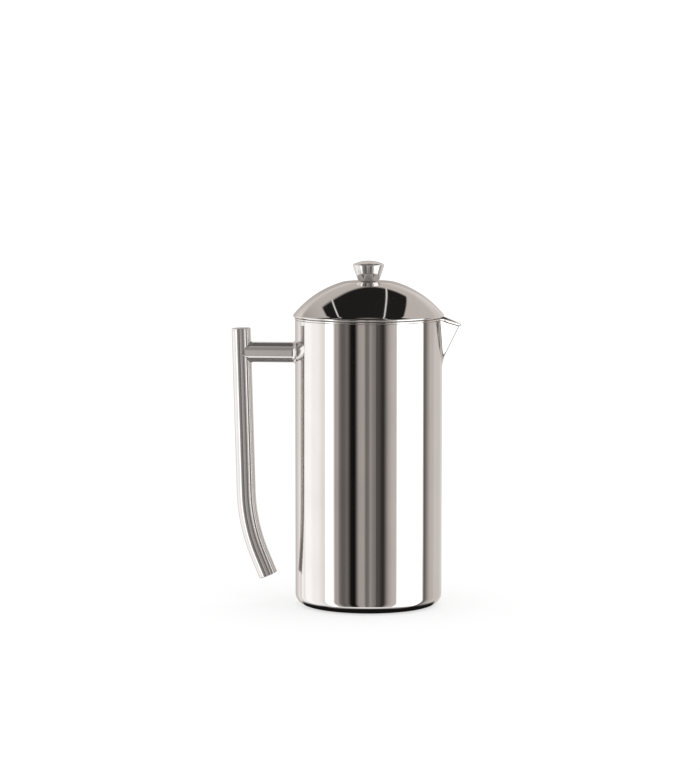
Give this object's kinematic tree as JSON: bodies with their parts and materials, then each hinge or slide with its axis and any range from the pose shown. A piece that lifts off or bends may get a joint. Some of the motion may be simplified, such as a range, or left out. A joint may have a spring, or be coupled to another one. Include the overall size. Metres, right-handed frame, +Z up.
{
  "type": "french press",
  "caption": "Double-wall steel press pot with a domed lid, V spout, round bar handle on a post, and a plunger with a knob, rod and sprung filter stack.",
  "frame": {"origin": "on the pot's axis, at the face the press stands on", "axes": "+Z up along the pot's axis, +X towards the spout, the handle on -X"},
  "size_m": [0.1615, 0.1048, 0.2403],
  "materials": {
    "mirror_steel": "mirror-polished stainless steel",
    "satin_steel": "satin stainless steel",
    "spring_steel": "bright drawn spring wire",
    "mesh_steel": "woven stainless wire",
    "bushing_plastic": "matt black plastic"
  },
  "bodies": {
    "carafe": {"outer_shell": "mirror_steel", "inner_vessel": "satin_steel", "base_plate": "satin_steel", "spout": "mirror_steel", "handle_post": "mirror_steel", "handle_grip": "mirror_steel", "grip_top_cap": "mirror_steel", "grip_bottom_cap": "mirror_steel"},
    "lid": {"lid_dome": "mirror_steel", "lid_sleeve": "satin_steel", "lid_liner": "satin_steel"},
    "bushing": {"rod_bushing": "bushing_plastic", "bushing_nut": "satin_steel"},
    "plunger": {"knob": "mirror_steel", "plunger_rod": "satin_steel", "rod_collar": "satin_steel", "spring_plate": "satin_steel", "edge_spring": "spring_steel", "coarse_mesh": "mesh_steel", "fine_mesh": "mesh_steel", "cross_plate": "satin_steel", "hub_nut": "satin_steel"}
  },
  "joints": [
    {"name": "lid_lift", "type": "slide", "parent": "carafe", "child": "lid", "axis": [0, 0, 1], "range_m": [0, 0.2]},
    {"name": "plunger_turn", "type": "hinge", "parent": "lid", "child": "bushing", "pos_m": [0, 0, 0.2248], "axis": [0, 0, 1], "continuous": true},
    {"name": "plunger_slide", "type": "slide", "parent": "bushing", "child": "plunger", "axis": [0, 0, 1], "range_m": [0, 0.16]}
  ]
}
